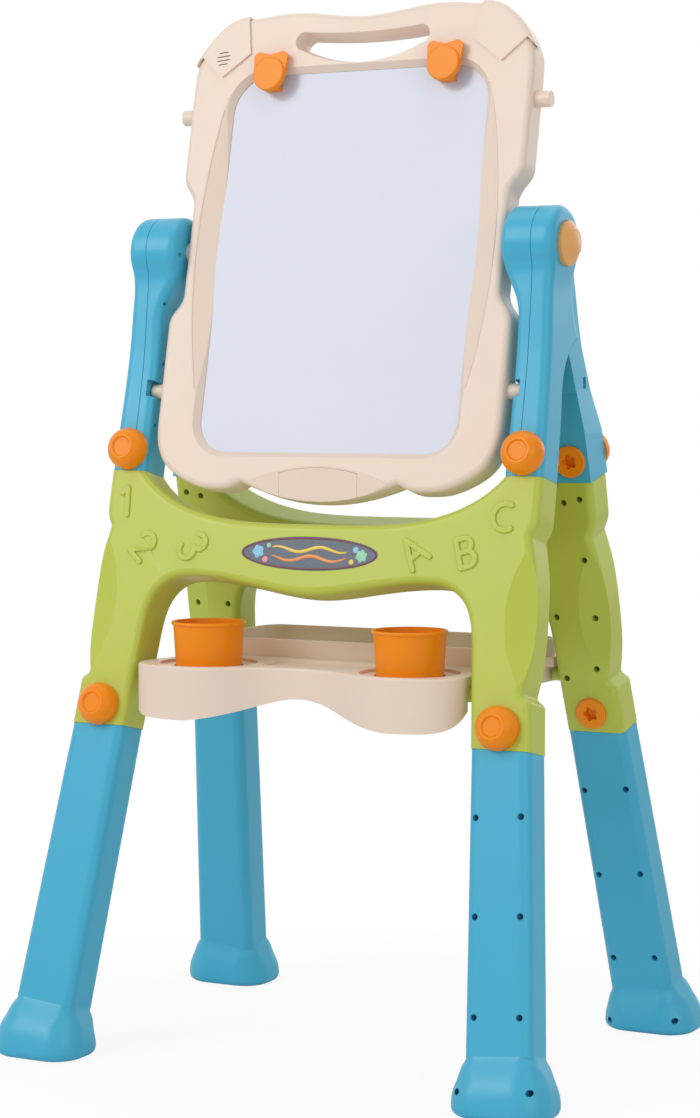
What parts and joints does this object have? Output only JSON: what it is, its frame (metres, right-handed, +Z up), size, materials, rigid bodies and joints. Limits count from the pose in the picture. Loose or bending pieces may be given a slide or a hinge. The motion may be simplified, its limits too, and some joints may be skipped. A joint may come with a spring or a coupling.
{
  "type": "children's drawing easel",
  "caption": "Folding children's easel: tilting two-sided board between two splayed leg frames with round knobs, a tray with lift-out cups, paper clips and side buttons.",
  "frame": {"origin": "floor level, midway between the four feet", "axes": "+Z up, -Y towards the front (whiteboard side), +X to the right of someone facing the front"},
  "size_m": [0.637, 0.4848, 1.108],
  "materials": {
    "cream_plastic": "satin",
    "blue_plastic": "satin",
    "green_plastic": "satin",
    "orange_plastic": "satin gloss",
    "tan_plastic": "satin",
    "white_panel": "semi-gloss writing surface",
    "chalk_panel": "matt chalk surface",
    "badge": "printed plate",
    "steel": "bright"
  },
  "bodies": {
    "front_frame": {"front_badge": "badge", "front_frame_back": "green_plastic", "front_frame_face": "green_plastic", "front_left_arm_inner": "blue_plastic", "front_left_arm_outer": "blue_plastic", "front_left_leg_inner_half": "blue_plastic", "front_left_leg_outer_half": "blue_plastic", "front_nuts": "orange_plastic", "front_right_arm_inner": "blue_plastic", "front_right_arm_outer": "blue_plastic", "front_right_leg_inner_half": "blue_plastic", "front_right_leg_outer_half": "blue_plastic", "front_screws": "steel", "left_button_spring": "steel", "right_button_spring": "steel"},
    "rear_frame": {"rear_frame_back": "green_plastic", "rear_frame_face": "green_plastic", "rear_left_arm_inner": "blue_plastic", "rear_left_arm_outer": "blue_plastic", "rear_left_leg_inner_half": "blue_plastic", "rear_left_leg_outer_half": "blue_plastic", "rear_nuts": "orange_plastic", "rear_right_arm_inner": "blue_plastic", "rear_right_arm_outer": "blue_plastic", "rear_right_leg_inner_half": "blue_plastic", "rear_right_leg_outer_half": "blue_plastic", "rear_screws": "steel"},
    "board": {"board_back_ring": "cream_plastic", "board_front_ring": "cream_plastic", "board_screws": "steel", "bottom_cover": "cream_plastic", "chalkboard_panel": "chalk_panel", "clip_pins": "steel", "left_corner_cap": "cream_plastic", "right_corner_cap": "cream_plastic", "whiteboard_panel": "white_panel"},
    "tray": {"left_cup_pocket": "cream_plastic", "right_cup_pocket": "cream_plastic", "tray": "cream_plastic", "tray_bin": "cream_plastic", "tray_skirt": "cream_plastic"},
    "front_left_lower_knob": {"front_left_lower_knob": "orange_plastic"},
    "front_left_upper_knob": {"front_left_upper_knob": "orange_plastic"},
    "front_right_lower_knob": {"front_right_lower_knob": "orange_plastic"},
    "front_right_upper_knob": {"front_right_upper_knob": "orange_plastic"},
    "left_button": {"left_button": "tan_plastic"},
    "left_clip": {"left_clip": "orange_plastic"},
    "left_cup": {"left_cup": "orange_plastic"},
    "rear_left_lower_knob": {"rear_left_lower_knob": "orange_plastic"},
    "rear_left_upper_knob": {"rear_left_upper_knob": "orange_plastic"},
    "rear_right_lower_knob": {"rear_right_lower_knob": "orange_plastic"},
    "rear_right_upper_knob": {"rear_right_upper_knob": "orange_plastic"},
    "right_button": {"right_button": "tan_plastic"},
    "right_clip": {"right_clip": "orange_plastic"},
    "right_cup": {"right_cup": "orange_plastic"}
  },
  "joints": [
    {"name": "rear_frame_fold", "type": "hinge", "parent": "front_frame", "child": "rear_frame", "pos_m": [0, -0.019, 0.85], "axis": [-1, 0, 0], "range_deg": [0, 16]},
    {"name": "board_tilt", "type": "hinge", "parent": "front_frame", "child": "board", "pos_m": [0, -0.019, 0.85], "axis": [-1, 0, 0], "range_deg": [0, 143.5]},
    {"name": "tray_lift", "type": "slide", "parent": "front_frame", "child": "tray", "axis": [0, 0, 1], "range_m": [0, 0.012]},
    {"name": "left_cup_lift", "type": "slide", "parent": "tray", "child": "left_cup", "axis": [0, 0, 1], "range_m": [0, 0.016]},
    {"name": "right_cup_lift", "type": "slide", "parent": "tray", "child": "right_cup", "axis": [0, 0, 1], "range_m": [0, 0.016]},
    {"name": "left_button_press", "type": "slide", "parent": "front_frame", "child": "left_button", "axis": [1, 0, 0], "range_m": [0, 0.0042], "stiffness_N_per_m": 900, "springref_m": -0.003},
    {"name": "right_button_press", "type": "slide", "parent": "front_frame", "child": "right_button", "axis": [-1, 0, 0], "range_m": [0, 0.0042], "stiffness_N_per_m": 900, "springref_m": -0.003},
    {"name": "left_clip_open", "type": "hinge", "parent": "board", "child": "left_clip", "pos_m": [-0.1035, 0.00297, 1.05306], "axis": [-1, 0, 0], "range_deg": [0, 12], "stiffness_Nm_per_rad": 0.3, "springref_deg": -5.73},
    {"name": "right_clip_open", "type": "hinge", "parent": "board", "child": "right_clip", "pos_m": [0.1035, 0.00297, 1.05306], "axis": [-1, 0, 0], "range_deg": [0, 12], "stiffness_Nm_per_rad": 0.3, "springref_deg": -5.73},
    {"name": "front_left_upper_knob_turn", "type": "hinge", "parent": "front_frame", "child": "front_left_upper_knob", "pos_m": [-0.2315, -0.08381, 0.63786], "axis": [0, -0.9751, 0.2215], "continuous": true},
    {"name": "front_left_lower_knob_turn", "type": "hinge", "parent": "front_frame", "child": "front_left_lower_knob", "pos_m": [-0.23201, -0.14518, 0.36774], "axis": [0, -0.9751, 0.2215], "continuous": true},
    {"name": "front_right_upper_knob_turn", "type": "hinge", "parent": "front_frame", "child": "front_right_upper_knob", "pos_m": [0.2315, -0.08381, 0.63786], "axis": [0, -0.9751, 0.2215], "continuous": true},
    {"name": "front_right_lower_knob_turn", "type": "hinge", "parent": "front_frame", "child": "front_right_lower_knob", "pos_m": [0.23201, -0.14518, 0.36774], "axis": [0, -0.9751, 0.2215], "continuous": true},
    {"name": "rear_left_upper_knob_turn", "type": "hinge", "parent": "rear_frame", "child": "rear_left_upper_knob", "pos_m": [-0.2315, 0.08381, 0.63786], "axis": [0, 0.9751, 0.2215], "continuous": true},
    {"name": "rear_left_lower_knob_turn", "type": "hinge", "parent": "rear_frame", "child": "rear_left_lower_knob", "pos_m": [-0.23201, 0.14518, 0.36774], "axis": [0, 0.9751, 0.2215], "continuous": true},
    {"name": "rear_right_upper_knob_turn", "type": "hinge", "parent": "rear_frame", "child": "rear_right_upper_knob", "pos_m": [0.2315, 0.08381, 0.63786], "axis": [0, 0.9751, 0.2215], "continuous": true},
    {"name": "rear_right_lower_knob_turn", "type": "hinge", "parent": "rear_frame", "child": "rear_right_lower_knob", "pos_m": [0.23201, 0.14518, 0.36774], "axis": [0, 0.9751, 0.2215], "continuous": true}
  ]
}
